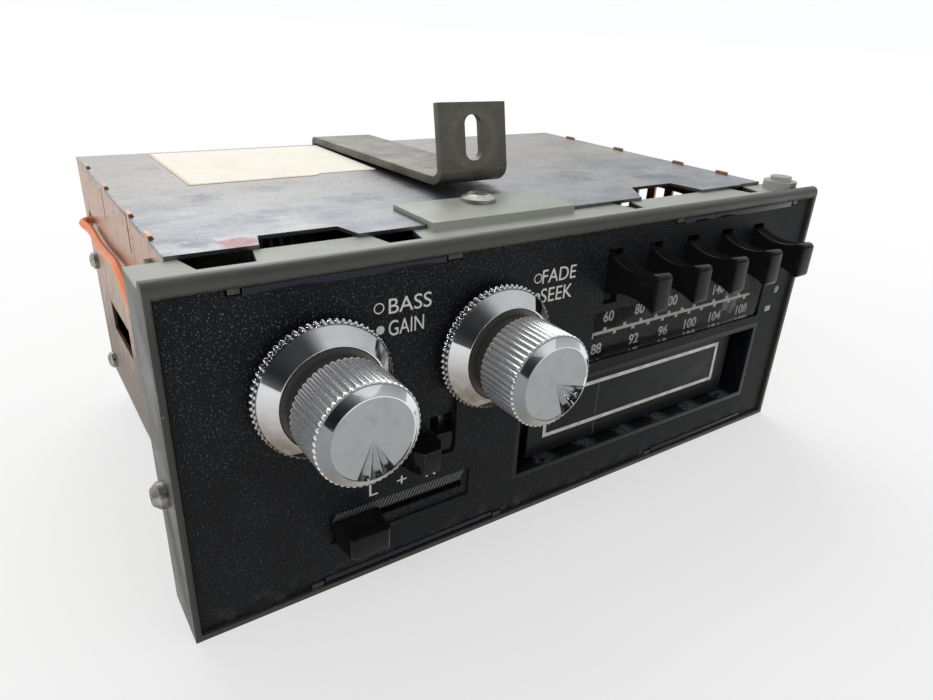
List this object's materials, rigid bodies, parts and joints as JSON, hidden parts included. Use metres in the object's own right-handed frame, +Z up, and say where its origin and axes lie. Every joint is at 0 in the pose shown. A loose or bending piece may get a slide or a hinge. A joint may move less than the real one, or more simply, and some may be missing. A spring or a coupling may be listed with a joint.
{
  "type": "car radio with tape cartridge player",
  "caption": "In-dash car radio with a slot for tape cartridges, station push buttons, a dial and pairs of stacked control knobs in a sheet-metal case.",
  "frame": {"origin": "middle of the front frame's underside, in the plane of the face panel's front", "axes": "+X to the right of the face, +Y back from the face, +Z up"},
  "size_m": [0.226, 0.1696, 0.1148],
  "materials": {
    "front_frame": "satin grey-green paint, dusty",
    "face_panel": "fine wrinkle black",
    "light_strips": "smoked",
    "slot_bezel": "black, glossy sill",
    "door_hinge_pin": "bright",
    "tape_door": "satin black with a silver outline",
    "dial_lens": "smoked, smudged",
    "dial_scale": "dark, printed scale",
    "dial_lamps": "clear glass",
    "dial_pointer": "pale translucent",
    "cam_plate": "zinc",
    "pointer_rail": "bright",
    "indicator_lenses": "green tint",
    "control_bushings": "plated",
    "volume_pot": "plated can",
    "fader_pot": "plated can",
    "volume_knob": "chromed, fluted",
    "volume_shaft": "plain",
    "tone_ring": "chromed, knurled",
    "tone_sleeve": "plain",
    "tuning_knob": "chromed, fluted",
    "tuning_shaft": "plain",
    "fader_ring": "chromed, knurled",
    "fader_sleeve": "plain",
    "balance_slider": "black",
    "balance_pot": "brown laminate",
    "band_slider": "black",
    "band_switch": "plated",
    "push_button_1": "black, worn edges",
    "push_button_2": "black, worn edges",
    "push_button_3": "black, worn edges",
    "push_button_4": "black, worn edges",
    "push_button_5": "black, worn edges",
    "tuner_frame": "zinc",
    "core_carriage": "moulded, with dark cores",
    "tuning_coils": "enamelled wire",
    "deck_plate": "zinc",
    "cartridge_guide": "zinc",
    "capstan_bearing": "sintered bronze",
    "flywheel": "turned",
    "motor": "plated can",
    "motor_pulley": "turned",
    "drive_belt": "plain",
    "head_carriage": "die cast, with a polished head",
    "cam_bracket": "zinc",
    "head_cam": "moulded",
    "solenoid": "taped coil",
    "solenoid_plunger": "bright",
    "pawl_arm": "zinc",
    "main_board": "paper laminate",
    "board_parts": "mixed parts",
    "heat_sink": "plain",
    "chassis": "plated steel, tarnished coppery brown",
    "top_cover": "mottled zinc",
    "bottom_cover": "mottled zinc",
    "support_strap": "dull steel",
    "housing_screws": "plated",
    "paper_label": "bare, aged",
    "hookup_wire": "orange insulation",
    "rear_sockets": "plated"
  },
  "bodies": {
    "radio": {"front_frame": "front_frame", "face_panel": "face_panel", "light_strips": "light_strips", "slot_bezel": "slot_bezel", "door_hinge_pin": "door_hinge_pin", "dial_lens": "dial_lens", "dial_scale": "dial_scale", "dial_lamps": "dial_lamps", "pointer_rail": "pointer_rail", "indicator_lenses": "indicator_lenses", "control_bushings": "control_bushings", "volume_pot": "volume_pot", "fader_pot": "fader_pot", "balance_pot": "balance_pot", "band_switch": "band_switch", "tuner_frame": "tuner_frame", "tuning_coils": "tuning_coils", "deck_plate": "deck_plate", "cartridge_guide": "cartridge_guide", "capstan_bearing": "capstan_bearing", "motor": "motor", "drive_belt": "drive_belt", "cam_bracket": "cam_bracket", "solenoid": "solenoid", "main_board": "main_board", "board_parts": "board_parts", "heat_sink": "heat_sink", "chassis": "chassis", "top_cover": "top_cover", "bottom_cover": "bottom_cover", "support_strap": "support_strap", "housing_screws": "housing_screws", "paper_label": "paper_label", "hookup_wire": "hookup_wire", "rear_sockets": "rear_sockets"},
    "volume_control": {"volume_knob": "volume_knob", "volume_shaft": "volume_shaft"},
    "tone_control": {"tone_ring": "tone_ring", "tone_sleeve": "tone_sleeve"},
    "tuning_control": {"tuning_knob": "tuning_knob", "tuning_shaft": "tuning_shaft"},
    "fader_control": {"fader_ring": "fader_ring", "fader_sleeve": "fader_sleeve"},
    "balance_control": {"balance_slider": "balance_slider"},
    "band_control": {"band_slider": "band_slider"},
    "button_1": {"push_button_1": "push_button_1"},
    "button_2": {"push_button_2": "push_button_2"},
    "button_3": {"push_button_3": "push_button_3"},
    "button_4": {"push_button_4": "push_button_4"},
    "button_5": {"push_button_5": "push_button_5"},
    "door": {"tape_door": "tape_door"},
    "pointer": {"dial_pointer": "dial_pointer", "cam_plate": "cam_plate"},
    "cores": {"core_carriage": "core_carriage"},
    "capstan_wheel": {"flywheel": "flywheel"},
    "pulley": {"motor_pulley": "motor_pulley"},
    "head": {"head_carriage": "head_carriage"},
    "cam": {"head_cam": "head_cam"},
    "plunger": {"solenoid_plunger": "solenoid_plunger"},
    "pawl": {"pawl_arm": "pawl_arm"}
  },
  "joints": [
    {"name": "volume_turn", "type": "hinge", "parent": "radio", "child": "volume_control", "pos_m": [-0.0758, 0, 0.06], "axis": [0, 1, 0], "range_deg": [-290, 5]},
    {"name": "tone_turn", "type": "hinge", "parent": "radio", "child": "tone_control", "pos_m": [-0.0758, 0, 0.06], "axis": [0, 1, 0], "range_deg": [-135, 135]},
    {"name": "tuning_turn", "type": "hinge", "parent": "radio", "child": "tuning_control", "pos_m": [-0.0279, 0, 0.06], "axis": [0, 1, 0], "range_deg": [-540.22, 29.47]},
    {"name": "fader_turn", "type": "hinge", "parent": "radio", "child": "fader_control", "pos_m": [-0.0279, 0, 0.06], "axis": [0, 1, 0], "range_deg": [-135, 135]},
    {"name": "balance_slide", "type": "slide", "parent": "radio", "child": "balance_control", "axis": [1, 0, 0], "range_m": [0, 0.028]},
    {"name": "band_slide", "type": "slide", "parent": "radio", "child": "band_control", "axis": [0, 0, 1], "range_m": [0, 0.005]},
    {"name": "button_1_push", "type": "slide", "parent": "radio", "child": "button_1", "axis": [0, 1, 0], "range_m": [0, 0.008], "stiffness_N_per_m": 250},
    {"name": "button_2_push", "type": "slide", "parent": "radio", "child": "button_2", "axis": [0, 1, 0], "range_m": [0, 0.008], "stiffness_N_per_m": 250},
    {"name": "button_3_push", "type": "slide", "parent": "radio", "child": "button_3", "axis": [0, 1, 0], "range_m": [0, 0.008], "stiffness_N_per_m": 250},
    {"name": "button_4_push", "type": "slide", "parent": "radio", "child": "button_4", "axis": [0, 1, 0], "range_m": [0, 0.008], "stiffness_N_per_m": 250},
    {"name": "button_5_push", "type": "slide", "parent": "radio", "child": "button_5", "axis": [0, 1, 0], "range_m": [0, 0.008], "stiffness_N_per_m": 250},
    {"name": "door_swing", "type": "hinge", "parent": "radio", "child": "door", "pos_m": [0.03875, 0.0059, 0.0379], "axis": [1, 0, 0], "range_deg": [0, 86], "stiffness_Nm_per_rad": 0.004, "springref_deg": -17.19},
    {"name": "pointer_slide", "type": "slide", "parent": "radio", "child": "pointer", "axis": [1, 0, 0], "range_m": [-0.0661, 0.0037]},
    {"name": "core_slide", "type": "slide", "parent": "radio", "child": "cores", "axis": [0, 1, 0], "range_m": [-0.00115, 0.0201]},
    {"name": "capstan_spin", "type": "hinge", "parent": "radio", "child": "capstan_wheel", "pos_m": [0.06, 0.1, 0.07], "axis": [0, 0, 1], "continuous": true},
    {"name": "pulley_spin", "type": "hinge", "parent": "radio", "child": "pulley", "pos_m": [0, 0.106, 0.07], "axis": [0, 0, 1], "continuous": true},
    {"name": "head_lift", "type": "slide", "parent": "radio", "child": "head", "axis": [0, 0, 1], "range_m": [0, 0.0036]},
    {"name": "cam_turn", "type": "hinge", "parent": "radio", "child": "cam", "pos_m": [0.028, 0.098, 0.0543], "axis": [0, 1, 0], "range_deg": [0, 300]},
    {"name": "plunger_pull", "type": "slide", "parent": "radio", "child": "plunger", "axis": [1, 0, 0], "range_m": [0, 0.0009], "stiffness_N_per_m": 300},
    {"name": "pawl_swing", "type": "hinge", "parent": "radio", "child": "pawl", "pos_m": [0.0205, 0.106, 0.0543], "axis": [0, 0, 1], "range_deg": [-11.5, 0]}
  ],
  "couplings": [
    {"joint": "pointer_slide", "follows": "tuning_turn", "m_per_rad": 0.007},
    {"joint": "core_slide", "follows": "tuning_turn", "m_per_rad": -0.0021212},
    {"joint": "pulley_spin", "follows": "capstan_spin", "ratio": 5.2},
    {"joint": "cam_turn", "follows": "head_lift", "rad_per_m": 1454.4},
    {"joint": "pawl_swing", "follows": "plunger_pull", "rad_per_m": -222}
  ]
}
